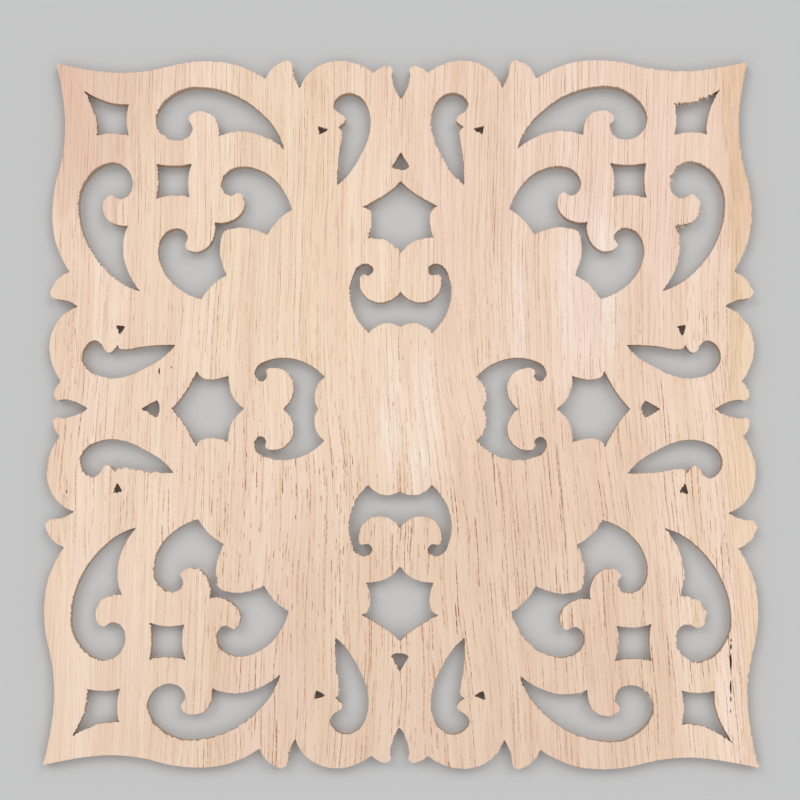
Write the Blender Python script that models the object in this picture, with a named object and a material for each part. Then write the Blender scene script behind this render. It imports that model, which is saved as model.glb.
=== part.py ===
"""Pierced square applique: one flat board of pale wood with a scrolling pattern cut right through it.

The pattern is the same about both centre lines and both diagonals, so each opening is drawn once, in the
top right of the board, and mirrors and quarter turns give the rest. The board lies on its back: the origin
is the centre of the back, +Z leaves the face, and +Y runs along the grain.
"""

import math

import bmesh
import bpy
from mathutils import Matrix, Vector
from mathutils.geometry import interpolate_bezier

# Driving dimensions, in millimetres
SIDE = 300.0  # over the leaf tips, which reach furthest
THICKNESS = 5.0
FACET_SAG = 0.1  # how far a facet may cut across its true curve
FACET_TURN = math.radians(20)  # how far the outline may turn at one facet of a curve

# The outlines below are drawn in millimetres from the centre of a board of this side
DRAWN_SIDE = 300.0
SCALE = SIDE / DRAWN_SIDE
MM = 0.001  # a millimetre in Blender's metres

WOOD_COLOUR = (0.80, 0.62, 0.47, 1.0)
WOOD_ROUGHNESS = 0.6


def circle_direction(before, here, after):
    """The way a circle through three points runs at the middle one."""
    come, go = here - before, after - here
    return (come / come.length_squared + go / go.length_squared).normalized()


def facets(chord, turn):
    """How many facets an arc of this chord and turn needs."""
    by_sag = math.sqrt(chord * turn / (8 * FACET_SAG))
    return max(1, math.ceil(max(by_sag, turn / FACET_TURN)))


def sweep(*stations):
    """One smooth curve through the stations, both ends included; at each station it runs as the circle
    through that station and its neighbours does."""
    spots = [Vector(station) for station in stations]
    inner = [circle_direction(*spots[i - 1:i + 2]) for i in range(1, len(spots) - 1)]
    first_chord = (spots[1] - spots[0]).normalized()
    last_chord = (spots[-1] - spots[-2]).normalized()
    first = 2 * inner[0].dot(first_chord) * first_chord - inner[0]
    last = 2 * inner[-1].dot(last_chord) * last_chord - inner[-1]
    ways = [first, *inner, last]
    points = [spots[0]]
    for start, end, leave, arrive in zip(spots, spots[1:], ways, ways[1:]):
        chord = end - start
        leave_turn, arrive_turn = leave.angle(chord), arrive.angle(chord)
        out_handle = start + leave * chord.length * 2 / 3 / (1 + math.cos(leave_turn))
        in_handle = end - arrive * chord.length * 2 / 3 / (1 + math.cos(arrive_turn))
        count = facets(chord.length, leave_turn + arrive_turn)
        points += interpolate_bezier(start, out_handle, in_handle, end, count + 1)[1:]
    return points


def arc(start, end, rise):
    """A circular arc, both ends included, that rises this far to the left of the straight way."""
    start, end = Vector(start), Vector(end)
    left = (end - start).orthogonal().normalized()
    return sweep(start, (start + end) / 2 + left * rise, end)


def chain(*stretches):
    """Stretches that meet at corners, as one run of points."""
    return [point for stretch in stretches for point in stretch[:-1]] + [stretches[-1][-1]]


def closed(run):
    """A run that ends where it starts, without its doubled point."""
    return run[:-1]


def with_mirror(half, axis):
    """A half outline, which starts and ends on an axis through the centre, closed by its reflection."""
    axis = Vector(axis).normalized()
    other = [2 * point.dot(axis) * axis - point for point in half[1:-1]]
    return half + other[::-1]


def four(outline):
    """An outline on a centre line or a diagonal, and its copies by quarter turns."""
    turns = [Matrix.Rotation(math.radians(90 * quarter), 2) for quarter in range(4)]
    return [[turn @ point for point in outline] for turn in turns]


def eight(outline):
    """An outline off the centre lines and diagonals, its reflection, and the quarter turns of both."""
    return four(outline) + four([Vector((-point.x, point.y)) for point in outline])


CENTRE_LINE = (0, 1)
DIAGONAL = (1, 1)


def border():
    """The outer edge: from each corner a hollow and a long swell, then a pointed leaf, a round lobe and a
    small leaf, with a deep notch on the centre line. The second number is the depth below the leaf tips."""
    depths = (
        ((149.1, 0.9), (138.9, 3.1), (119.0, 5.1), (106.3, 3.8), (95.0, 1.1), (84.3, 0.2), (73.0, 1.4),
         (64.5, 4.6), (58.4, 8.1)),
        ((58.4, 8.1), (56.0, 3.8), (51.6, 0.8), (48.8, 0.0), (47.1, 1.7), (46.3, 6.2), (43.6, 12.1)),
        ((43.6, 12.1), (40.7, 6.7), (34.7, 2.0), (24.8, 0.2), (17.4, 2.1), (11.7, 5.4)),
        ((11.7, 5.4), (8.4, 3.1), (5.4, 2.5), (3.7, 3.8), (3.9, 7.0), (3.1, 11.0), (0.0, 17.0)),
    )
    top = [[(across, DRAWN_SIDE / 2 - depth) for across, depth in stretch] for stretch in depths]
    eighth = chain(*(sweep(*stretch) for stretch in top))
    quarter = eighth + [Vector((-point.x, point.y)) for point in eighth[-2:0:-1]]
    return [point for side in four(quarter) for point in side]


def corner_diamonds():
    """In each corner a four-pointed hole, its long point outwards and its sides bowed in."""
    outer, shoulder, inner = (136.9, 136.9), (117.4, 131.1), (117.3, 117.3)
    half = chain(sweep(outer, (130.0, 133.3), (124.0, 131.4), shoulder), arc(shoulder, inner, 1.0))
    return four(with_mirror(half, DIAGONAL))


def inner_squares():
    """Further in, a small square hole with bowed sides, a little wider at its outer corners."""
    outer, shoulder, inner = (105.1, 105.1), (89.9, 105.1), (90.6, 90.6)
    half = chain(arc(outer, shoulder, 0.9), arc(shoulder, inner, 1.2))
    return four(with_mirror(half, DIAGONAL))


def long_commas():
    """Along the border a long comma: a round head that a finger of wood curls into, and a thin tail."""
    tail, root = (50.2, 111.5), (78.3, 117.1)
    back = sweep(tail, (53.4, 119.0), (59.9, 126.8), (70.5, 134.3), (84.6, 138.3), (92.0, 138.1),
                 (98.6, 135.2), (104.4, 129.0), (105.6, 123.0), (102.0, 117.2), (96.7, 115.3),
                 (91.4, 117.1), (89.8, 120.6), (91.6, 125.0), (89.6, 127.3), (85.2, 127.9),
                 (80.5, 125.5), (78.6, 121.2), root)
    belly = sweep(root, (73.4, 118.7), (66.5, 119.0), (59.5, 117.1), tail)
    return eight(closed(chain(back, belly)))


def double_commas():
    """Inside each corner two commas joined tail to tail across the diagonal, with a scalloped inner side."""
    heart, wing, fork, lobe = (79.8, 79.8), (46.7, 85.1), (57.0, 74.4), (75.7, 75.7)
    curl = sweep(heart, (77.5, 79.4), (74.5, 79.8), (70.4, 81.6), (67.5, 85.2), (67.0, 88.6),
                 (69.3, 92.5), (73.3, 91.2), (76.5, 93.6), (76.8, 98.0), (73.0, 102.5), (67.7, 103.8),
                 (62.3, 102.9), (56.2, 99.8), (51.0, 94.3), wing)
    scallop = sweep(wing, (51.4, 81.8), fork)
    lobe_side = sweep(fork, (61.8, 76.3), (67.5, 77.5), (72.3, 77.0), (75.0, 76.2), lobe)
    return four(with_mirror(chain(curl, scallop, lobe_side), DIAGONAL))


def beaked_leaves():
    """Beside each centre line a leaf-shaped hole: a round head, a beak of wood and a straight far side."""
    notch, tip = (27.1, 120.7), (27.1, 95.9)
    head = sweep(tip, (23.1, 99.6), (17.1, 109.0), (13.5, 118.1), (13.8, 127.8), (17.0, 133.5),
                 (22.0, 135.7), (27.0, 133.9), (29.0, 130.2), (26.9, 127.1), (24.6, 125.8),
                 (23.7, 124.0), (25.3, 122.0), notch)
    side = sweep(notch, (25.5, 119.6), (25.2, 117.0), (26.2, 111.0), tip)
    return eight(closed(chain(head, side)))


def pin_triangles():
    """Beside each leaf a tiny triangle."""
    far, low, near = (35.6, 121.2), (34.9, 117.7), (31.3, 119.9)
    return eight(closed(chain(arc(far, low, 0.1), arc(low, near, 0.1), arc(near, far, 0.1))))


def axis_triangles():
    """On each centre line a small triangle that points to the border, its base bowed out."""
    apex, foot, base = (0, 109.8), (3.6, 103.5), (0, 102.3)
    half = chain(arc(apex, foot, 0.1), sweep(foot, (2.0, 102.6), base))
    return four(with_mirror(half, CENTRE_LINE))


def stars():
    """Below the triangle a shield-like star with five bowed sides and a barb at each shoulder."""
    apex, barb, foot, bottom = (0, 97.3), (16.0, 86.4), (14.0, 73.0), (0, 66.3)
    roof = sweep(apex, (4.4, 93.3), (11.0, 89.1), barb)
    flank = sweep(barb, (14.1, 85.6), (12.5, 82.5), (12.6, 78.0), foot)
    floor = sweep(foot, (9.9, 72.7), (5.4, 71.3), (2.2, 68.9), bottom)
    return four(with_mirror(chain(roof, flank, floor), CENTRE_LINE))


def moustaches():
    """Nearest the centre a moustache-shaped hole whose thin ends curl over towards the border."""
    nose, tip, chin = (0, 49.8), (13.4, 32.2), (0, 34.8)
    curl = sweep(nose, (2.5, 47.3), (8.5, 45.2), (14.4, 47.2), (17.4, 53.0), (16.3, 57.2),
                 (13.3, 57.0), (11.7, 59.1), (13.8, 61.6), (17.8, 60.9), (20.6, 55.9), (21.5, 47.5),
                 (20.0, 41.6), tip)
    lip = sweep(tip, (9.9, 35.3), (5.0, 36.5), chin)
    return four(with_mirror(chain(curl, lip), CENTRE_LINE))


def wood():
    """Bare sanded wood, pale cream with a little pink."""
    material = bpy.data.materials.new("pale_wood")
    material.use_nodes = True
    shader = material.node_tree.nodes["Principled BSDF"]
    shader.inputs["Base Color"].default_value = WOOD_COLOUR
    shader.inputs["Roughness"].default_value = WOOD_ROUGHNESS
    shader.inputs["Metallic"].default_value = 0.0
    return material


def cut_board(name, outlines):
    """A board of the set thickness inside the first outline, cut through by the others."""
    board = bmesh.new()
    for outline in outlines:
        corners = [board.verts.new((*(point * SCALE * MM), 0.0)) for point in outline]
        for here, after in zip(corners, corners[1:] + corners[:1]):
            board.edges.new((here, after))
    filled = bmesh.ops.triangle_fill(board, use_beauty=True, edges=board.edges)
    back = [piece for piece in filled["geom"] if isinstance(piece, bmesh.types.BMFace)]
    raised = bmesh.ops.extrude_face_region(board, geom=back)["geom"]
    face_corners = [piece for piece in raised if isinstance(piece, bmesh.types.BMVert)]
    bmesh.ops.translate(board, verts=face_corners, vec=(0, 0, THICKNESS * MM))
    bmesh.ops.recalc_face_normals(board, faces=board.faces)
    mesh = bpy.data.meshes.new(name)
    board.to_mesh(mesh)
    board.free()
    panel = bpy.data.objects.new(name, mesh)
    panel.data.materials.append(wood())
    bpy.context.scene.collection.objects.link(panel)
    return panel


for old in list(bpy.data.objects):
    bpy.data.objects.remove(old, do_unlink=True)

openings = (
    corner_diamonds, inner_squares, long_commas, double_commas, beaked_leaves,
    pin_triangles, axis_triangles, stars, moustaches,
)
cut_board("fretwork_panel", [border(), *(outline for opening in openings for outline in opening())])
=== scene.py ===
import math
import random

import bmesh
import bpy
import numpy as np
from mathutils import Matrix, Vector
from mathutils.geometry import delaunay_2d_cdt, interpolate_bezier
from mathutils.noise import noise


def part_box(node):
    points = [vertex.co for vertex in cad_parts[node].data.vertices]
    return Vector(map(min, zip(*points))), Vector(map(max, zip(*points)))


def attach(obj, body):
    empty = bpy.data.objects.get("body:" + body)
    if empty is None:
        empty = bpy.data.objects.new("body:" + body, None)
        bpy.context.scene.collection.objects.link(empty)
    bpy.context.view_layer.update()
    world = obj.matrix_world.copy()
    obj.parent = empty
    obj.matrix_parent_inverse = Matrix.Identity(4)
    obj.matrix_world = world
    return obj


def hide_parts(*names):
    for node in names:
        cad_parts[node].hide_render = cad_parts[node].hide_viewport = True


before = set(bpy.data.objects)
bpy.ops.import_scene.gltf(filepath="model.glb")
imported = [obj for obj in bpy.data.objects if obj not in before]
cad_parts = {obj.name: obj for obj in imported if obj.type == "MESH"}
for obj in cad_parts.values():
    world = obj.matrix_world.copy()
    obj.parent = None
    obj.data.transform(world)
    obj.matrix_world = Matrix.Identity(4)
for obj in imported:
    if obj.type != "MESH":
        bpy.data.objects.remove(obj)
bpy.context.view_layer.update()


# The cut
# One continuous saw or router cut makes each opening and the border. It is smooth where the cutter
# pressed the fibres down and ragged where it lifted them, and its corners are sanded a little blunt.
MM = 0.001
PANEL = "fretwork_panel"
LOW, HIGH = (Vector(corner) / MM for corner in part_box(PANEL))
THICKNESS = HIGH.z - LOW.z

FACING_UP = 0.9  # a facet whose normal rises more than this is part of the face
MERGE = 0.005  # corners of facets closer than this are one
CORNER_TURN = math.radians(30)  # the outline turns more than this at a true corner
CUT_STEP = 0.36  # between two points of the cut
CURVE_POINTS = 12  # read from each smooth stretch before it is stepped out evenly
BLUNTING = 0.25  # how far each point moves to its neighbours, which blunts the corners
SMOOTH_TOOTH = 0.13  # how far the cut wanders on a clean stretch
RAGGED_TOOTH = 0.48  # and on a ragged one
TOOTH_PITCH, SLOW_PITCH = 0.85, 3.1  # of the teeth, and of the slower wander under them
TOOTH_GAIN = 1.6  # because the noise seldom passes 0.6
RAGGED_WAY = Vector((0.85, 0.53))  # the fibres lift where the cut faces this way

# The wood has dried a little narrower across its grain, and more at the top than at the bottom
SHRINK_BOTTOM, SHRINK_TOP = 0.0025, 0.0053
SHRINK_FROM, SHRINK_TO = -60.0, 70.0

# Where the cut strays from the pattern: the place, how far it is off, and how far round it that shows
STRAYS = (
    ((136.9, -136.9), (1.4, -1.9), 13.0),
)

# Tufts of lifted fibres: the middle of the stretch of cut, how far it reaches, how long the fibres stand
# out, and how ragged the cut is there beside a plain ragged one
TUFTS = (
    (124.5, 134.5, 8.5, 1.7, 1.6),
    (117.0, 98.5, 4.5, 2.2, 1.3),
    (121.0, 104.5, 4.0, 1.3, 1.3),
    (128.0, 83.5, 1.8, 3.2, 1.0),
    (118.5, 78.0, 2.6, 2.0, 1.3),
    (119.5, 70.0, 3.2, 1.2, 1.5),
    (-110.0, -27.0, 7.5, 0.7, 1.1),
    (-132.0, -24.0, 4.0, 0.6, 0.9),
    (-82.0, -8.0, 5.0, 0.7, 1.2),
    (-99.5, -72.0, 4.0, 0.9, 1.2),
    (-78.0, -72.0, 3.5, 0.9, 1.2),
    (120.5, -90.0, 1.6, 1.8, 1.0),
    (103.5, -120.0, 4.0, 1.5, 1.0),
    (76.0, -118.0, 1.5, 1.5, 1.0),
    (148.0, -72.0, 3.0, 0.7, 0.4),
)


def as_dried(place):
    """A place on the pattern, moved as the wood has shrunk and as the cut has strayed."""
    share = min(max((place.y - SHRINK_FROM) / (SHRINK_TO - SHRINK_FROM), 0.0), 1.0)
    moved = Vector((place.x * (1 - SHRINK_BOTTOM - share * (SHRINK_TOP - SHRINK_BOTTOM)), place.y))
    for middle, off, reach in STRAYS:
        away = (place - Vector(middle)).length / reach
        if away < 1:
            moved += Vector(off) * (1 - away) ** 2
    return moved


def face_outlines(cad_node):
    """The closed outlines of the board's face in millimetres, each with the wood on its left."""
    solid = bmesh.new()
    solid.from_mesh(cad_node.data)
    bmesh.ops.remove_doubles(solid, verts=solid.verts, dist=MERGE * MM)
    following = {}
    for face in solid.faces:
        if face.normal.z < FACING_UP:
            continue
        for side in face.loops:
            if any(other.normal.z < FACING_UP for other in side.edge.link_faces):
                following[side.vert.index] = side.link_loop_next.vert.index
    places = [as_dried(vert.co.xy / MM) for vert in solid.verts]
    solid.free()
    outlines = []
    while following:
        start = min(following)
        walk = [start]
        while following[walk[-1]] != start:
            walk.append(following.pop(walk[-1]))
        following.pop(walk[-1])
        outlines.append([places[index] for index in walk])
    return outlines


def turn_at(before, here, after):
    """How far an outline turns at a point, either way."""
    return abs((here - before).angle_signed(after - here))


def circle_direction(before, here, after):
    """The way a circle through three points runs at the middle one."""
    come, go = here - before, after - here
    return (come / come.length_squared + go / go.length_squared).normalized()


def smooth_run(spots):
    """Points along one smooth curve through the facets' corners, from one true corner to the next."""
    if len(spots) < 3:
        return [spots[0].lerp(spots[1], i / CURVE_POINTS) for i in range(CURVE_POINTS + 1)]
    inner = [circle_direction(*spots[i - 1:i + 2]) for i in range(1, len(spots) - 1)]
    first_chord = (spots[1] - spots[0]).normalized()
    last_chord = (spots[-1] - spots[-2]).normalized()
    first = 2 * inner[0].dot(first_chord) * first_chord - inner[0]
    last = 2 * inner[-1].dot(last_chord) * last_chord - inner[-1]
    ways = [first, *inner, last]
    points = [spots[0]]
    for start, end, leave, arrive in zip(spots, spots[1:], ways, ways[1:]):
        reach = (end - start).length / 3
        curve = interpolate_bezier(start, start + leave * reach, end - arrive * reach, end, CURVE_POINTS)
        points += curve[1:]
    return points


def stepped(points, step):
    """The same line in even steps, its last point left out."""
    line = np.array([tuple(point) for point in points])
    along = np.concatenate([[0.0], np.cumsum(np.linalg.norm(np.diff(line, axis=0), axis=1))])
    count = max(2, round(along[-1] / step))
    at = np.arange(count) * along[-1] / count
    return np.stack([np.interp(at, along, line[:, axis]) for axis in (0, 1)], axis=1)


def smooth_outline(outline):
    """A faceted outline drawn again as smooth curves between its true corners, the corners a little blunt."""
    count = len(outline)
    corners = [
        i for i in range(count)
        if turn_at(outline[i - 1], outline[i], outline[(i + 1) % count]) > CORNER_TURN
    ]
    runs = []
    for start, end in zip(corners, corners[1:] + [corners[0] + count]):
        spots = [outline[i % count] for i in range(start, end + 1)]
        runs.append(stepped(smooth_run(spots), CUT_STEP))
    line = np.concatenate(runs)
    before, after = np.roll(line, 1, axis=0), np.roll(line, -1, axis=0)
    return BLUNTING * before + (1 - 2 * BLUNTING) * line + BLUNTING * after


def out_of_wood(line):
    """At each point of an outline, the level direction that leads straight out of the wood."""
    along = np.roll(line, -2, axis=0) - np.roll(line, 2, axis=0)
    along /= np.linalg.norm(along, axis=1)[:, None]
    return np.stack([along[:, 1], -along[:, 0]], axis=1)


def raggedness(place, outward):
    """From 0 on a clean stretch of the cut to 1 where the cutter lifted the fibres: mostly on the wood's
    right-hand side, and more across the grain at the top right and the bottom left."""
    right_side = max(0.0, RAGGED_WAY.dot(outward) + 0.1)
    upper_right = place[0] > 60 and place[1] > 60
    lower_left = place[0] < -60 and place[1] < -20
    across = max(0.0, -outward[1]) if upper_right else max(0.0, outward[1]) if lower_left else 0.0
    uneven = 0.75 + 0.9 * noise((place[0] / 23, place[1] / 23, 4.0))
    return min(1.0, max(right_side, 0.8 * across) * max(0.15, uneven))


def tuft_at(spot):
    """The tuft that a point of the cut lies in, or None."""
    near = [tuft for tuft in TUFTS if (spot[0] - tuft[0]) ** 2 + (spot[1] - tuft[1]) ** 2 < tuft[2] ** 2]
    return near[0] if near else None


def cut_wander(line, outward, number):
    """How far the cut leaves the drawn line at each point, outwards counted up."""
    wander = []
    for i, (place, way) in enumerate(zip(line, outward)):
        along = i * CUT_STEP
        tuft = tuft_at(place)
        ragged = tuft[4] if tuft else raggedness(place, way)
        tooth = noise((along / TOOTH_PITCH, number * 7.3, 0.0))
        tooth += 0.5 * noise((along / SLOW_PITCH, 3.1, number))
        wander.append((SMOOTH_TOOTH + ragged * (RAGGED_TOOTH - SMOOTH_TOOTH)) * TOOTH_GAIN * tooth)
    return np.array(wander)


outlines = [smooth_outline(outline) for outline in face_outlines(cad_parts[PANEL])]
outwards = [out_of_wood(outline) for outline in outlines]
wanders = [cut_wander(line, way, k) for k, (line, way) in enumerate(zip(outlines, outwards))]


# The board
# A flat pierced board of bare pale wood, sawn from one width of stock and sanded on its face, with
# long grain from bottom to top. It lies on its back and nothing is fixed to it.
ARRIS = 0.08  # the sanded corner between face and cut
KERF = 0.10  # the cut runs this far into the wood beside its line
TORN_DEPTH = 1.3  # the ragged part of the cut reaches this far down
SHARP_TURN = math.radians(32)  # faces that meet at more than this keep a hard edge
FACE_SHADE, ARRIS_SHADE, CUT_SHADE, SLIT_SHADE = 0.0, 0.15, 1.0, 2.0  # how far the cut's colour shows there: 1 is browner wood darkened with painted shade, 2 the slits' darker painted shade

# Each level of the cut: how far in from the cut line, how high, how much of the wander, how much shade
LEVELS = (
    (ARRIS, THICKNESS, 1.0, FACE_SHADE),
    (0.0, THICKNESS - ARRIS, 1.0, ARRIS_SHADE),
    (0.03, THICKNESS - TORN_DEPTH, 0.45, CUT_SHADE),
    (0.03, 0.0, 0.3, CUT_SHADE),
)

# A fine drying check follows the grain low on the right, and three pits show on the left: each is a
# slit given by its middle across the grain, its upper and lower end, and its width
SLITS = (
    (137.9, -95.7, -97.3, 0.55),
    (137.8, -97.9, -100.4, 0.75),
    (137.7, -101.7, -109.3, 0.85),
    (137.5, -113.0, -118.8, 0.75),
    (137.5, -119.6, -121.9, 0.60),
    (137.3, -125.0, -126.4, 0.45),
    (-102.2, 17.4, 14.6, 0.70),
    (-97.1, 18.2, 17.0, 0.45),
    (-140.6, -34.4, -35.9, 0.45),
)
SLIT_DEPTH = 1.1
SLIT_LIP, SLIT_LIP_DEPTH = 0.9, 0.05  # just below the face a slit is this share as wide
SLIT_FLOOR = 0.4  # and its floor this share
SLIT_STEP = 0.35


def level_ring(line, outward, wander, level):
    """One closed ring of points round an opening, kept inside the board's own box."""
    inset, height, share, _ = level
    ring = line + outward * (share * wander - inset - KERF)[:, None]
    ring[:, 0] = np.clip(ring[:, 0], LOW.x, HIGH.x)
    ring[:, 1] = np.clip(ring[:, 1], LOW.y, HIGH.y)
    return np.column_stack([ring, np.full(len(ring), height)])


def slit_ring(slit, share, height):
    """A closed lens-shaped ring, a little crooked, that runs clockwise, with the wood on its left."""
    middle, top, bottom, width = slit
    steps = max(3, round((top - bottom) / SLIT_STEP))
    right = []
    for i in range(steps + 1):
        down = i / steps
        y = top + (bottom - top) * down
        crooked = 0.12 * noise((middle, y / 1.4, 0.0)) * math.sin(math.pi * down)
        half = 0.5 * width * share * math.sin(math.pi * min(max(down, 0.04), 0.96)) ** 0.6
        right.append((middle + crooked, half, y))
    points = [(x + half, y, height) for x, half, y in right]
    points += [(x - half, y, height) for x, half, y in right[::-1]]
    return np.array(points)


def flat_fill(rings, firsts):
    """Triangles that fill the wood between closed rings, numbered from each ring's first point."""
    points, outline, numbers = [], [], []
    for ring, first in zip(rings, firsts):
        start = len(points)
        points += [Vector(point[:2]) for point in ring]
        outline += [(start + i, start + (i + 1) % len(ring)) for i in range(len(ring))]
        numbers += range(first, first + len(ring))
    _, _, triangles, sources, _, _ = delaunay_2d_cdt(points, outline, [], 1, 1e-7)
    named = [[sources[corner][0] for corner in triangle] for triangle in triangles]
    owner = {(one[k - 1], one[k]): n for n, one in enumerate(named) for k in range(3)}
    wood, waiting, fence = set(), [owner[side] for side in outline], set(outline)
    while waiting:
        n = waiting.pop()
        if n not in wood:
            wood.add(n)
            sides = [(named[n][k - 1], named[n][k]) for k in range(3)]
            waiting += [owner[side[::-1]] for side in sides if side not in fence]
    return [[numbers[corner] for corner in named[n]] for n in sorted(wood)]


def band(above, below, count):
    """Four-sided faces between two rings of the same count, facing out of the wood."""
    return [
        [above + i, below + i, below + (i + 1) % count, above + (i + 1) % count]
        for i in range(count)
    ]


def board_mesh(name):
    """The whole board as one closed mesh, with its shade kept at each point."""
    rings, firsts, shades, faces = [], [], [], []

    def add(ring, shade):
        firsts.append(sum(len(made) for made in rings))
        rings.append(ring)
        shades.extend([shade] * len(ring))
        return len(rings) - 1

    cuts = list(zip(outlines, outwards, wanders))
    levels = [[add(level_ring(*cut, level), level[3]) for cut in cuts] for level in LEVELS]
    slits = [
        (
            add(slit_ring(slit, 1.0, THICKNESS), FACE_SHADE),
            add(slit_ring(slit, SLIT_LIP, THICKNESS - SLIT_LIP_DEPTH), SLIT_SHADE),
            add(slit_ring(slit, SLIT_FLOOR, THICKNESS - SLIT_DEPTH), SLIT_SHADE),
        )
        for slit in SLITS
    ]
    on_face = levels[0] + [slit[0] for slit in slits]
    faces += flat_fill([rings[k] for k in on_face], [firsts[k] for k in on_face])
    on_back = flat_fill([rings[k] for k in levels[-1]], [firsts[k] for k in levels[-1]])
    faces += [corners[::-1] for corners in on_back]
    for column in [*zip(*levels), *slits]:
        for above, below in zip(column, column[1:]):
            faces += band(firsts[above], firsts[below], len(rings[above]))
    for _, _, floor in slits:
        faces.append([firsts[floor] + i for i in range(len(rings[floor]))][::-1])
    mesh = bpy.data.meshes.new(name)
    mesh.from_pydata(np.concatenate(rings) * MM, [], faces)
    shade = mesh.attributes.new("cut_shade", "FLOAT", "POINT")
    shade.data.foreach_set("value", np.array(shades, np.float32))
    mesh.shade_smooth()
    mesh.set_sharp_from_angle(angle=SHARP_TURN)
    return mesh


board = bpy.data.objects.new("pierced_board", board_mesh("pierced_board"))
bpy.context.scene.collection.objects.link(board)


# The board's wood
# Bare sanded wood, cream with soft bands of pink and yellow. Brown vessel lines run along the grain, long
# and dark low on the right, short or fine elsewhere, and a yellower strip follows the right edge.
LIGHT_WOOD = (0.925, 0.748, 0.609)
DARK_WOOD = (0.838, 0.620, 0.466)
PINK_TINT = (1.0, 0.968, 0.982)
YELLOW_TINT = (1.0, 1.004, 0.976)
STRIP_TINT = (1.0, 1.0, 0.93)
STRIP_BROWN = (0.560, 0.330, 0.170)
VESSEL_BROWN = (0.290, 0.080, 0.028)
FAINT_BROWN = (0.520, 0.235, 0.105)
# The cut's colour: browner end grain, darkened further as painted shade on the walls
CUT_BROWN_AND_SHADE = (0.430, 0.305, 0.215)
# Painted shade: the slits' near-black brown stands in for the shade in the narrow cracks
SLIT_PAINTED_SHADE = (0.110, 0.045, 0.025)

# Where the yellower strip starts, from the bottom of the board to the top: height and place across
STRIP_EDGE = (
    (-150.0, 142.3), (-100.0, 142.4), (-45.0, 136.5), (-10.0, 135.7),
    (67.0, 140.2), (106.0, 137.8), (150.0, 135.6),
)
STRIP_FROM, STRIP_SPAN = 130.0, 20.0  # the strip's edge stays between these places across

# Broad patches of other wood, and of painted sheen and shade where marked: the middle, how far it reaches
# across and along, how frayed, and its tint
PATCHES = (
    (10.0, -128.0, 115.0, 95.0, 0.3, (0.915, 0.888, 0.873)),  # darker towards the foot: partly painted shade where the light falls off, partly browner wood
    (64.0, -28.0, 48.0, 34.0, 0.5, (0.960, 0.924, 0.912)),
    (-50.0, 70.0, 60.0, 80.0, 0.5, (1.008, 1.022, 0.995)),  # the creamy upper left
    (72.0, 85.0, 70.0, 85.0, 0.4, (0.995, 0.980, 1.010)),  # the pinker upper right
    (-136.0, 140.0, 30.0, 62.0, 0.8, (0.895, 0.815, 0.805)),
    (-98.0, 135.0, 7.0, 70.0, 0.8, (0.965, 0.930, 0.945)),
    (142.0, 120.0, 22.0, 55.0, 0.6, (0.985, 0.965, 0.970)),
    (146.0, 118.0, 9.0, 50.0, 0.6, (0.970, 0.930, 0.900)),
    (-120.0, -70.0, 36.0, 55.0, 0.5, (1.000, 1.010, 1.010)),
    (0.0, -78.0, 52.0, 38.0, 0.4, (1.022, 1.028, 1.018)),
    (-125.0, -128.0, 38.0, 42.0, 0.4, (0.982, 0.990, 0.990)),
    (-24.0, 85.0, 26.0, 85.0, 0.4, (1.012, 1.015, 1.015)),
    (130.0, -105.0, 20.0, 50.0, 0.4, (1.008, 1.018, 1.030)),
    (-109.0, -95.0, 4.5, 50.0, 0.9, (1.020, 1.030, 1.060)),
    (-143.0, 85.0, 7.0, 26.0, 0.9, (1.020, 1.040, 1.050)),
    (80.0, 50.0, 14.0, 42.0, 1.0, (1.035, 1.095, 1.150)),  # painted sheen: silky places, lighter and cooler where the light comes back
    (47.0, 40.0, 6.0, 28.0, 1.0, (1.020, 1.055, 1.090)),
    (2.0, 12.0, 60.0, 60.0, 0.4, (1.010, 1.016, 1.010)),
    # more painted sheen on silky places round the middle
    (-2.4, 17.0, 3.2, 14.0, 1.0, (1.035, 1.085, 1.140)),
    (9.5, 1.0, 7.5, 28.0, 0.9, (1.035, 1.085, 1.140)),
    (-3.5, -7.0, 6.5, 19.0, 0.9, (1.025, 1.070, 1.120)),
    (9.0, -27.0, 6.5, 12.0, 0.9, (1.025, 1.065, 1.110)),
    (134.0, -128.0, 4.0, 24.0, 0.5, (1.040, 1.060, 1.080)),
    (146.0, -142.0, 5.0, 7.0, 0.2, (1.000, 0.975, 1.030)),
)

# Where the vessel lines are calm, broken into dashes, and deepest: patches again
CALM_WOOD = (4.0, 16.0, 46.0, 42.0, 0.5)
DASHED_WOOD = (-52.0, -50.0, 48.0, 48.0, 0.6)
DEEP_WOOD = (45.0, -62.0, 52.0, 62.0, 0.5)

# The kinds of vessel line: how far apart their columns stand, how long a run is and how rare, how wide a
# line is, how often it darkens and fades, and a number that sets the kind apart
LONG_LINES = (2.3, 30.0, 0.02, 0.23, 2.6, 1.0)
NEAR_LINES = (3.4, 30.0, 0.00, 0.22, 2.6, 2.0)
FINE_LINES = (1.35, 70.0, 0.03, 0.17, 9.0, 3.0)
DASHES = (1.7, 8.0, 0.05, 0.21, 2.6, 4.0)

# The grain swings to the right on its way down: everywhere, more low on the right, and round the heart
GRAIN_DRIFT, LOWER_RIGHT_SWING = math.tan(math.radians(1.5)), math.tan(math.radians(6.3))
HEART_SWING = 8.0
MARK_DEPTH, FIBRE_DEPTH = 0.12, 0.005  # of the marks on the cut, and of the fibres on the face


def add_node(tree, kind, **settings):
    """A new node in the tree, with its settings."""
    made = tree.nodes.new(kind)
    for name, value in settings.items():
        setattr(made, name, value)
    return made


def fill(tree, socket, value):
    """Links a socket to another node's output, or sets its plain value."""
    if isinstance(value, bpy.types.NodeSocket):
        tree.links.new(value, socket)
    else:
        socket.default_value = value


def maths(tree, operation, *values, clamp=False):
    """The result of one sum on plain values or other nodes' outputs."""
    made = add_node(tree, "ShaderNodeMath", operation=operation, use_clamp=clamp)
    for socket, value in zip(made.inputs, values):
        fill(tree, socket, value)
    return made.outputs[0]


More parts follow.
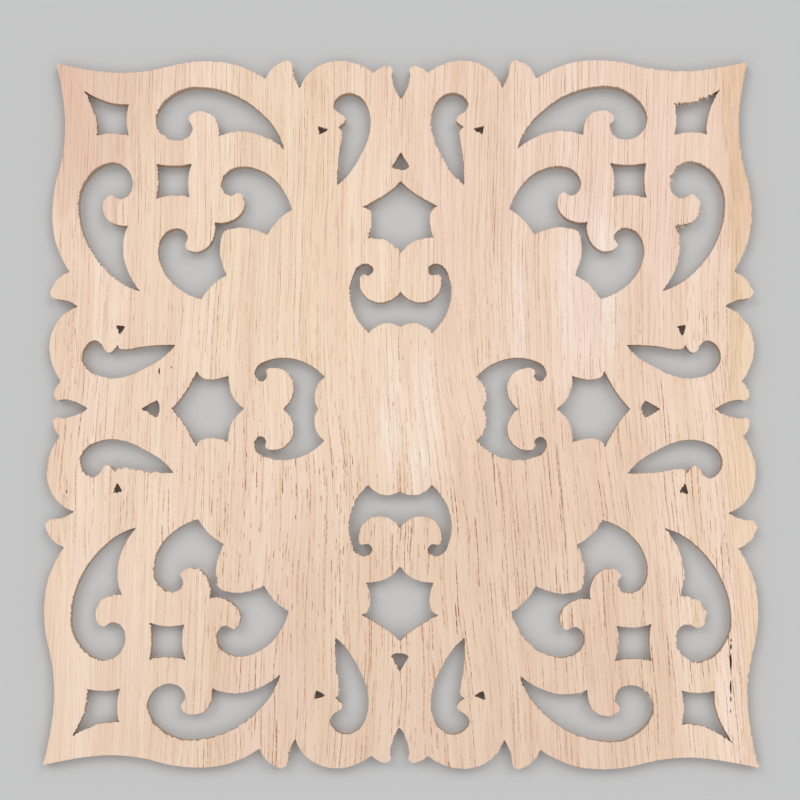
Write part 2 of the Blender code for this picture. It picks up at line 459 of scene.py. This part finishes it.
def ramp(tree, value, low, high, to_low=0.0, to_high=1.0):
    """A smooth step from one value to another while the input goes from low to high."""
    made = add_node(tree, "ShaderNodeMapRange", interpolation_type="SMOOTHSTEP")
    for socket, given in zip(made.inputs, (value, low, high, to_low, to_high)):
        fill(tree, socket, given)
    return made.outputs[0]


def scaled(tree, value, share, gain, base):
    """The value times the base where the share is 0, and times the base and gain together where it is 1."""
    return maths(tree, "MULTIPLY", value, maths(tree, "MULTIPLY_ADD", share, gain, base))


def mixed(tree, share, first, second, way="MIX"):
    """Two colours mixed by this share, or the second laid over the first in another way."""
    made = add_node(tree, "ShaderNodeMix", data_type="RGBA", blend_type=way)
    for number, value in ((0, share), (6, first), (7, second)):
        fill(tree, made.inputs[number], (*value, 1.0) if isinstance(value, tuple) else value)
    return made.outputs[2]


def grain_cell(tree, across, along, width, length, apart):
    """A point on the board counted in cells of this width across the grain and length along it."""
    made = add_node(tree, "ShaderNodeCombineXYZ")
    fill(tree, made.inputs[0], maths(tree, "DIVIDE", across, width))
    fill(tree, made.inputs[1], maths(tree, "DIVIDE", along, length))
    made.inputs[2].default_value = apart
    return made.outputs[0]


def streaks(tree, across, along, width, length, apart, detail=2.0, roughness=0.55):
    """Soft random streaks, from about -0.5 to 0.5."""
    made = add_node(tree, "ShaderNodeTexNoise")
    made.inputs["Scale"].default_value = 1.0
    made.inputs["Detail"].default_value = detail
    made.inputs["Roughness"].default_value = roughness
    tree.links.new(grain_cell(tree, across, along, width, length, apart), made.inputs["Vector"])
    return maths(tree, "SUBTRACT", made.outputs["Fac"], 0.5)


def patch(tree, x, y, frayed, spot):
    """From 1 inside a broad round patch to 0 outside it, with an edge frayed along the grain."""
    middle_x, middle_y, reach_x, reach_y, fray = spot
    right = maths(tree, "DIVIDE", maths(tree, "SUBTRACT", x, middle_x), reach_x)
    up = maths(tree, "DIVIDE", maths(tree, "SUBTRACT", y, middle_y), reach_y)
    away = maths(tree, "SQRT", maths(tree, "MULTIPLY_ADD", right, right, maths(tree, "MULTIPLY", up, up)))
    return ramp(tree, maths(tree, "MULTIPLY_ADD", frayed, fray, away), 1.25, 0.6)


def vessels(tree, across, along, spacing, run, rarity, girth, beat, apart):
    """Vessel lines: one wanders down each column of this spacing. It shows in runs of about this length,
    the fewer the higher the rarity, and darkens and fades along its way about once each beat."""
    columns = maths(tree, "DIVIDE", maths(tree, "ADD", across, 37.7 * apart), spacing)
    number = maths(tree, "MULTIPLY_ADD", maths(tree, "FLOOR", columns), 9.137, apart)
    chance = add_node(tree, "ShaderNodeTexWhiteNoise", noise_dimensions="1D")
    fill(tree, chance.inputs["W"], number)
    luck = add_node(tree, "ShaderNodeSeparateColor")
    tree.links.new(chance.outputs["Color"], luck.inputs[0])
    wander = streaks(tree, number, along, 1.0, 28.0, apart + 0.4, 1.0)
    home = maths(tree, "MULTIPLY_ADD", luck.outputs[0], 0.5, 0.25)
    stands_at = maths(tree, "MULTIPLY_ADD", wander, 0.7, home)
    off = maths(tree, "ABSOLUTE", maths(tree, "SUBTRACT", maths(tree, "FRACT", columns), stands_at))
    nearness = ramp(tree, maths(tree, "MULTIPLY", off, spacing), girth, 0.4 * girth)
    shows = ramp(tree, streaks(tree, number, along, 1.0, run, apart + 0.7, 2.0), rarity - 0.03, rarity + 0.06)
    pulse = ramp(tree, streaks(tree, number, along, 1.0, beat, apart, 2.0, 0.7), -0.14, 0.14, 0.3, 1.0)
    strength = maths(tree, "MULTIPLY", maths(tree, "MULTIPLY_ADD", luck.outputs[1], 0.7, 0.3), pulse)
    return maths(tree, "MULTIPLY", maths(tree, "MULTIPLY", nearness, shows), strength)


def strip_edge(tree, y):
    """How far right of the centre the strip starts at each height."""
    curve = add_node(tree, "ShaderNodeFloatCurve")
    spots = [
        ((height - LOW.y) / (HIGH.y - LOW.y), (edge - STRIP_FROM) / STRIP_SPAN)
        for height, edge in STRIP_EDGE
    ]
    line = curve.mapping.curves[0]
    line.points[0].location, line.points[1].location = spots[0], spots[-1]
    for spot in spots[1:-1]:
        line.points.new(*spot)
    curve.mapping.update()
    share = maths(tree, "DIVIDE", maths(tree, "SUBTRACT", y, LOW.y), HIGH.y - LOW.y, clamp=True)
    fill(tree, curve.inputs["Value"], share)
    return maths(tree, "MULTIPLY_ADD", curve.outputs[0], STRIP_SPAN, STRIP_FROM)


def grain_across(tree, x, y):
    """How far across the grain each point lies, along fibres that swing and wander on their way down."""
    below = maths(tree, "MAXIMUM", maths(tree, "SUBTRACT", 20.0, y), 0.0)
    lean = maths(tree, "MULTIPLY", below, ramp(tree, x, -10.0, 40.0, 0.0, LOWER_RIGHT_SWING))
    near_heart = ramp(tree, maths(tree, "ABSOLUTE", x), 78.0, 25.0)
    heart = maths(tree, "MULTIPLY", near_heart, ramp(tree, y, 52.0, -54.0, 0.0, HEART_SWING))
    sway = maths(tree, "MULTIPLY", streaks(tree, x, y, 70.0, 95.0, 5.0, 1.0), 6.0)
    wiggle = maths(tree, "MULTIPLY", streaks(tree, x, y, 5.0, 11.0, 7.0, 2.0), 0.7)
    drift = maths(tree, "MULTIPLY", y, -GRAIN_DRIFT)
    across = maths(tree, "SUBTRACT", maths(tree, "SUBTRACT", x, lean), heart)
    for bend in (sway, wiggle, drift):
        across = maths(tree, "ADD", across, bend)
    return across


def fibre_tone(tree, across, y):
    """From 0 in the darkest fibres to 1 in the lightest."""
    tone = streaks(tree, across, y, 15.0, 400.0, 2.0, 4.0, 0.8)
    return maths(tree, "MULTIPLY_ADD", tone, 3.2, 0.5, clamp=True)


def plain_wood(tree, x, y, across, frayed, tone):
    """Light and dark along the fibres, soft bands of pink and yellow, and the broad patches."""
    colour = mixed(tree, tone, DARK_WOOD, LIGHT_WOOD)
    bands = ramp(tree, streaks(tree, across, y, 14.0, 420.0, 1.0, 4.0, 0.7), -0.16, 0.16)
    colour = mixed(tree, 1.0, colour, mixed(tree, bands, PINK_TINT, YELLOW_TINT), "MULTIPLY")
    threads = ramp(tree, streaks(tree, across, y, 0.6, 60.0, 12.0, 2.0, 0.7), 0.04, -0.16)
    colour = mixed(tree, maths(tree, "MULTIPLY", threads, 0.17), colour, FAINT_BROWN)
    for *spot, tint in PATCHES:
        tinted = mixed(tree, 1.0, colour, tint, "MULTIPLY")
        colour = mixed(tree, patch(tree, x, y, frayed, spot), colour, tinted)
    return colour


def strip_lines(tree, strip_at, y):
    """Brown lines in the strip, the closest at its left border near the top."""
    lines = ramp(tree, streaks(tree, strip_at, y, 0.9, 22.0, 9.0, 3.0, 0.75), -0.06, 0.16)
    lines = maths(tree, "MULTIPLY", lines, ramp(tree, strip_at, 9.0, 1.0, 0.3, 1.0))
    return maths(tree, "MULTIPLY", lines, ramp(tree, y, -20.0, 60.0, 0.35, 0.65))


def vessel_lines(tree, x, y, across, frayed, in_strip):
    """All the vessel lines: long and dark low on the right, fine and straight above, short dashes left of
    the foot, and few in the lower left corner and in the strip."""
    low = ramp(tree, y, 40.0, -35.0)
    top = ramp(tree, y, 35.0, 75.0)
    dashed = patch(tree, x, y, frayed, DASHED_WOOD)
    calm = maths(tree, "MAXIMUM", patch(tree, x, y, frayed, CALM_WOOD), dashed)
    long_lines = scaled(tree, vessels(tree, across, y, *LONG_LINES), low, 0.55, 0.62)
    near_lines = scaled(tree, vessels(tree, across, y, *NEAR_LINES), low, 0.60, 0.55)
    long_lines = scaled(tree, maths(tree, "MAXIMUM", long_lines, near_lines), calm, -0.45, 1.0)
    long_lines = scaled(tree, long_lines, patch(tree, x, y, frayed, DEEP_WOOD), 0.25, 1.0)
    fine_lines = scaled(tree, vessels(tree, across, y, *FINE_LINES), top, 0.45, 0.40)
    fine_lines = scaled(tree, fine_lines, low, -0.30, 1.0)
    dashes = scaled(tree, vessels(tree, across, y, *DASHES), top, -0.60, 1.0)
    dashes = scaled(tree, dashes, dashed, 0.65, 0.85)
    lines = maths(tree, "MAXIMUM", long_lines, maths(tree, "MAXIMUM", fine_lines, dashes))

    corner = maths(tree, "MULTIPLY", ramp(tree, x, -75.0, -120.0), ramp(tree, y, -30.0, -75.0, 0.0, 0.7))
    openness = maths(tree, "MULTIPLY_ADD", streaks(tree, across, y, 16.0, 70.0, 11.0, 2.0), 2.0, 1.0)
    openness = maths(tree, "MULTIPLY", openness, maths(tree, "SUBTRACT", 1.0, corner))
    openness = scaled(tree, openness, in_strip, -0.60, 1.0)
    openness = maths(tree, "MULTIPLY", openness, ramp(tree, y, -95.0, -125.0, 1.0, 0.8))
    return maths(tree, "MULTIPLY", lines, openness, clamp=True)


def cut_marks(tree, spot, on_cut):
    """Marks that run from face to back on the cut, about -0.5 to 0.5, and none elsewhere."""
    marks = add_node(tree, "ShaderNodeTexNoise")
    marks.inputs["Scale"].default_value = 1.0
    marks.inputs["Detail"].default_value = 3.0
    upright = add_node(tree, "ShaderNodeCombineXYZ")
    for socket, axis, pitch in zip(upright.inputs, spot, (0.45, 0.45, 9.0)):
        fill(tree, socket, maths(tree, "DIVIDE", axis, pitch))
    tree.links.new(upright.outputs[0], marks.inputs["Vector"])
    return maths(tree, "MULTIPLY", maths(tree, "SUBTRACT", marks.outputs["Fac"], 0.5), on_cut)


def board_wood():
    """Bare pale wood: its fibres and patches, the strip, the vessel lines, the browner cut darkened with
    painted shade, and the slits' painted shade.
    """
    material = bpy.data.materials.new("bare_pale_wood")
    material.use_nodes = True
    tree = material.node_tree
    shader = tree.nodes["Principled BSDF"]
    where = add_node(tree, "ShaderNodeTexCoord").outputs["Object"]
    millimetres = add_node(tree, "ShaderNodeVectorMath", operation="SCALE")
    millimetres.inputs["Scale"].default_value = 1 / MM
    tree.links.new(where, millimetres.inputs[0])
    split = add_node(tree, "ShaderNodeSeparateXYZ")
    tree.links.new(millimetres.outputs[0], split.inputs[0])
    x, y, z = split.outputs

    across = grain_across(tree, x, y)
    frayed = streaks(tree, across, y, 2.6, 30.0, 6.0, 3.0, 0.7)
    tone = fibre_tone(tree, across, y)
    colour = plain_wood(tree, x, y, across, frayed, tone)

    strip_at = maths(tree, "SUBTRACT", x, strip_edge(tree, y))
    in_strip = ramp(tree, maths(tree, "MULTIPLY_ADD", frayed, 2.0, strip_at), -0.6, 0.8)
    colour = mixed(tree, in_strip, colour, mixed(tree, 1.0, colour, STRIP_TINT, "MULTIPLY"))
    browned = maths(tree, "MULTIPLY", strip_lines(tree, strip_at, y), in_strip)
    colour = mixed(tree, browned, colour, STRIP_BROWN)

    lines = vessel_lines(tree, x, y, across, frayed, in_strip)
    browns = mixed(tree, maths(tree, "POWER", lines, 1.5), FAINT_BROWN, VESSEL_BROWN)
    colour = mixed(tree, maths(tree, "POWER", lines, 0.8), colour, browns)

    # The cut walls take a browner colour darkened with painted shade, varied by the marks
    cut = add_node(tree, "ShaderNodeAttribute", attribute_name="cut_shade").outputs["Fac"]
    on_cut = maths(tree, "MINIMUM", cut, 1.0)
    mark = cut_marks(tree, (x, y, z), on_cut)
    browned = maths(tree, "MULTIPLY", on_cut, maths(tree, "MULTIPLY_ADD", mark, 0.9, 0.75), clamp=True)
    colour = mixed(tree, browned, colour, CUT_BROWN_AND_SHADE)
    # The slits are painted near-black brown: painted shade in the narrow cracks
    in_slit = maths(tree, "SUBTRACT", cut, 1.0, clamp=True)
    colour = mixed(tree, in_slit, colour, SLIT_PAINTED_SHADE)
    tree.links.new(colour, shader.inputs["Base Color"])

    roughness = maths(tree, "MULTIPLY_ADD", lines, 0.15, 0.58)
    roughness = maths(tree, "MULTIPLY_ADD", on_cut, 0.2, roughness)
    tree.links.new(roughness, shader.inputs["Roughness"])
    height = maths(tree, "MULTIPLY", mark, MARK_DEPTH * MM)
    height = maths(tree, "MULTIPLY_ADD", tone, FIBRE_DEPTH * MM, height)
    bump = add_node(tree, "ShaderNodeBump")
    bump.inputs["Distance"].default_value = 1.0
    tree.links.new(height, bump.inputs["Height"])
    tree.links.new(bump.outputs[0], shader.inputs["Normal"])
    return material


board.data.materials.append(board_wood())
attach(board, "root")
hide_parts(PANEL)


# The torn fibres
# Where the cutter lifted the grain, pale hairs of wood still stand out of the cut in small tufts. They
# are part of the board, thin as thread, and were never sanded off.
HAIR_LENGTH, HAIR_GIRTH, HAIR_BEND = 1.0, 0.10, 0.35
FUZZ_CHANCE, RAGGED_FUZZ = 0.035, 0.15  # of a hair at a point of a clean cut, and what a ragged one adds
TUFT_CHANCE = 0.6  # and inside a tuft
SHORT_HAIR = 0.5  # the length of a hair outside the tufts, where the drawn hair is 1
ROOT_IN = 0.15  # a hair's root sits this far inside the wood
ROOT_DOWN, ROOT_DEPTH = 0.1, 0.9  # how far below the face the roots start, and how much further they go
ROOT_SEED, SPIN_SEED = 7, 3
SPECKLE_SCALE = 900.0
HAIR_CREAM = (0.86, 0.70, 0.55)


def fibre_roots(name):
    """Points in the cut where hairs stand, each with its way out and its length."""
    chance = random.Random(ROOT_SEED)
    points, ways, lengths = [], [], []
    for line, outward, wander in zip(outlines, outwards, wanders):
        for spot, way, out in zip(line, outward, wander):
            tuft = tuft_at(spot)
            length = tuft[3] if tuft else SHORT_HAIR
            if tuft:
                likely = TUFT_CHANCE * min(1.0, length)
            else:
                likely = FUZZ_CHANCE + RAGGED_FUZZ * raggedness(spot, way) ** 2
            if chance.random() > likely:
                continue
            height = THICKNESS - ROOT_DOWN - ROOT_DEPTH * chance.random() ** 2
            points.append((*(spot + way * (0.8 * out - ROOT_IN)), height))
            grain = chance.choice((-1, 1)) * chance.uniform(0.2, 1.1)
            ways.append((way[0], way[1] + grain, chance.uniform(-0.35, 0.1)))
            lengths.append(length * chance.uniform(0.35, 1.0))
    mesh = bpy.data.meshes.new(name)
    mesh.from_pydata([Vector(point) * MM for point in points], [], [])
    way = mesh.attributes.new("way", "FLOAT_VECTOR", "POINT")
    way.data.foreach_set("vector", np.array(ways, np.float32).ravel())
    length = mesh.attributes.new("length", "FLOAT", "POINT")
    length.data.foreach_set("value", np.array(lengths, np.float32))
    return mesh


def hair_tree(material):
    """Geometry Nodes: a thin bent hair, tapered to its tip, at every root."""
    tree = bpy.data.node_groups.new("torn_fibres", "GeometryNodeTree")
    sizes = {"Hair length": HAIR_LENGTH * MM, "Hair girth": HAIR_GIRTH * MM, "Hair bend": HAIR_BEND * MM}
    tree.interface.new_socket("Roots", in_out="INPUT", socket_type="NodeSocketGeometry")
    for name in sizes:
        tree.interface.new_socket(name, in_out="INPUT", socket_type="NodeSocketFloat")
    tree.interface.new_socket("Seed", in_out="INPUT", socket_type="NodeSocketInt")
    tree.interface.new_socket("Hairs", in_out="OUTPUT", socket_type="NodeSocketGeometry")
    given = add_node(tree, "NodeGroupInput").outputs

    middle = add_node(tree, "ShaderNodeCombineXYZ")
    tree.links.new(given["Hair bend"], middle.inputs[0])
    tree.links.new(maths(tree, "MULTIPLY", given["Hair length"], 0.5), middle.inputs[2])
    tip = add_node(tree, "ShaderNodeCombineXYZ")
    tree.links.new(given["Hair length"], tip.inputs[2])
    strand = add_node(tree, "GeometryNodeCurveQuadraticBezier")
    strand.inputs["Resolution"].default_value = 4
    strand.inputs["Start"].default_value = (0.0, 0.0, 0.0)
    tree.links.new(middle.outputs[0], strand.inputs["Middle"])
    tree.links.new(tip.outputs[0], strand.inputs["End"])
    along = add_node(tree, "GeometryNodeSplineParameter").outputs["Factor"]
    radius = add_node(tree, "GeometryNodeSetCurveRadius")
    tree.links.new(strand.outputs[0], radius.inputs["Curve"])
    tree.links.new(maths(tree, "MULTIPLY_ADD", along, -0.75, 1.0), radius.inputs["Radius"])
    profile = add_node(tree, "GeometryNodeCurvePrimitiveCircle")
    profile.inputs["Resolution"].default_value = 4
    tree.links.new(given["Hair girth"], profile.inputs["Radius"])
    hair = add_node(tree, "GeometryNodeCurveToMesh")
    tree.links.new(radius.outputs[0], hair.inputs["Curve"])
    tree.links.new(profile.outputs[0], hair.inputs["Profile Curve"])
    hair.inputs["Fill Caps"].default_value = True

    way = add_node(tree, "GeometryNodeInputNamedAttribute", data_type="FLOAT_VECTOR")
    way.inputs["Name"].default_value = "way"
    upright = add_node(tree, "FunctionNodeAlignRotationToVector", axis="Z")
    tree.links.new(way.outputs["Attribute"], upright.inputs["Vector"])
    spin = add_node(tree, "FunctionNodeRandomValue", data_type="FLOAT")
    spin.inputs[3].default_value = 2 * math.pi
    tree.links.new(given["Seed"], spin.inputs["Seed"])
    turn = add_node(tree, "ShaderNodeCombineXYZ")
    tree.links.new(spin.outputs[1], turn.inputs[2])
    about = add_node(tree, "FunctionNodeEulerToRotation")
    tree.links.new(turn.outputs[0], about.inputs[0])
    rotation = add_node(tree, "FunctionNodeRotateRotation", rotation_space="LOCAL")
    tree.links.new(upright.outputs[0], rotation.inputs[0])
    tree.links.new(about.outputs[0], rotation.inputs[1])
    length = add_node(tree, "GeometryNodeInputNamedAttribute", data_type="FLOAT")
    length.inputs["Name"].default_value = "length"
    size = add_node(tree, "ShaderNodeCombineXYZ")
    size.inputs[0].default_value = 1.0
    size.inputs[1].default_value = 1.0
    tree.links.new(length.outputs["Attribute"], size.inputs[2])

    each = add_node(tree, "GeometryNodeInstanceOnPoints")
    tree.links.new(given["Roots"], each.inputs["Points"])
    tree.links.new(hair.outputs[0], each.inputs["Instance"])
    tree.links.new(rotation.outputs[0], each.inputs["Rotation"])
    tree.links.new(size.outputs[0], each.inputs["Scale"])
    real = add_node(tree, "GeometryNodeRealizeInstances")
    tree.links.new(each.outputs[0], real.inputs[0])
    finish = add_node(tree, "GeometryNodeSetMaterial")
    finish.inputs["Material"].default_value = material
    tree.links.new(real.outputs[0], finish.inputs["Geometry"])
    result = add_node(tree, "NodeGroupOutput")
    tree.links.new(finish.outputs[0], result.inputs["Hairs"])
    return tree, sizes


def fibre_wood():
    """Pale torn wood, speckled between the cream of the hairs and the wood of the face."""
    material = bpy.data.materials.new("torn_wood_fibre")
    material.use_nodes = True
    tree = material.node_tree
    shader = tree.nodes["Principled BSDF"]
    speckle = add_node(tree, "ShaderNodeTexNoise")
    speckle.inputs["Scale"].default_value = SPECKLE_SCALE
    tree.links.new(add_node(tree, "ShaderNodeTexCoord").outputs["Object"], speckle.inputs["Vector"])
    tree.links.new(mixed(tree, speckle.outputs["Fac"], HAIR_CREAM, LIGHT_WOOD), shader.inputs["Base Color"])
    shader.inputs["Roughness"].default_value = 0.7
    return material


fibres = bpy.data.objects.new("torn_fibres", fibre_roots("torn_fibres"))
bpy.context.scene.collection.objects.link(fibres)
growth = fibres.modifiers.new("hairs", "NODES")
growth.node_group, hair_sizes = hair_tree(fibre_wood())
for item in growth.node_group.interface.items_tree:
    if item.in_out == "INPUT" and item.name in hair_sizes:
        growth[item.identifier] = hair_sizes[item.name]
    if item.in_out == "INPUT" and item.name == "Seed":
        growth[item.identifier] = SPIN_SEED
bpy.context.view_layer.update()
grown = bpy.data.meshes.new_from_object(fibres.evaluated_get(bpy.context.evaluated_depsgraph_get()))
fibres.modifiers.remove(growth)
fibres.data = grown
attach(fibres, "root")


# The floor and the light
# A plain pale floor, and soft light from four sides and above, so that the shadows in the openings are
# short and soft.
FLOOR_SIDE = 40.0  # in metres
FLOOR_DROP = 0.05  # the floor lies this far below the board's back
FLOOR_GREY = (0.56, 0.562, 0.565)
LIGHT_RISE = math.radians(49)  # of each light over the floor
LIGHT_SPREAD = math.radians(38)  # how wide each light looks from the board
FIRST_LIGHT = math.radians(45)  # where the first light stands, counted from the right
UPPER_POWER, LOWER_POWER = 0.75, 0.42
SKY = (0.432, 0.432, 0.432)


def pale_floor():
    """A plain matt grey."""
    material = bpy.data.materials.new("pale_floor")
    material.use_nodes = True
    shader = material.node_tree.nodes["Principled BSDF"]
    shader.inputs["Base Color"].default_value = (*FLOOR_GREY, 1.0)
    shader.inputs["Roughness"].default_value = 0.9
    return material


half = FLOOR_SIDE / 2
floor_mesh = bpy.data.meshes.new("floor")
corners = [(-half, -half), (half, -half), (half, half), (-half, half)]
floor_mesh.from_pydata([(*corner, -FLOOR_DROP * MM) for corner in corners], [], [(0, 1, 2, 3)])
floor = bpy.data.objects.new("floor", floor_mesh)
floor.data.materials.append(pale_floor())
bpy.context.scene.collection.objects.link(floor)

for quarter in range(4):
    angle = FIRST_LIGHT + math.radians(90 * quarter)
    light = bpy.data.lights.new(f"soft_light_{quarter + 1}", "SUN")
    light.angle = LIGHT_SPREAD
    light.energy = UPPER_POWER if quarter < 2 else LOWER_POWER
    lamp = bpy.data.objects.new(light.name, light)
    lamp.location = (math.cos(angle), math.sin(angle), math.tan(LIGHT_RISE))
    lamp.rotation_euler = (-lamp.location).to_track_quat("-Z", "Y").to_euler()
    bpy.context.scene.collection.objects.link(lamp)

world = bpy.data.worlds.new("sky")
world.use_nodes = True
world.node_tree.nodes["Background"].inputs["Color"].default_value = (*SKY, 1.0)
bpy.context.scene.world = world
bpy.context.scene.view_settings.view_transform = "Standard"


# The camera
# It looks straight down on the face from about arm's length, a little below the centre.
CAMERA_PLACE = (11.99, -53.62, 728.8)
CAMERA_TURN = (4.534, 0.950, 0.109)  # in degrees
CAMERA_LENS = 77.4
camera = bpy.data.cameras.new("camera")
camera.sensor_width = 36.0
camera.lens = CAMERA_LENS
camera.clip_start = 0.01
viewer = bpy.data.objects.new("camera", camera)
viewer.location = Vector(CAMERA_PLACE) * MM
viewer.rotation_euler = [math.radians(turn) for turn in CAMERA_TURN]
bpy.context.scene.collection.objects.link(viewer)
bpy.context.scene.camera = viewer
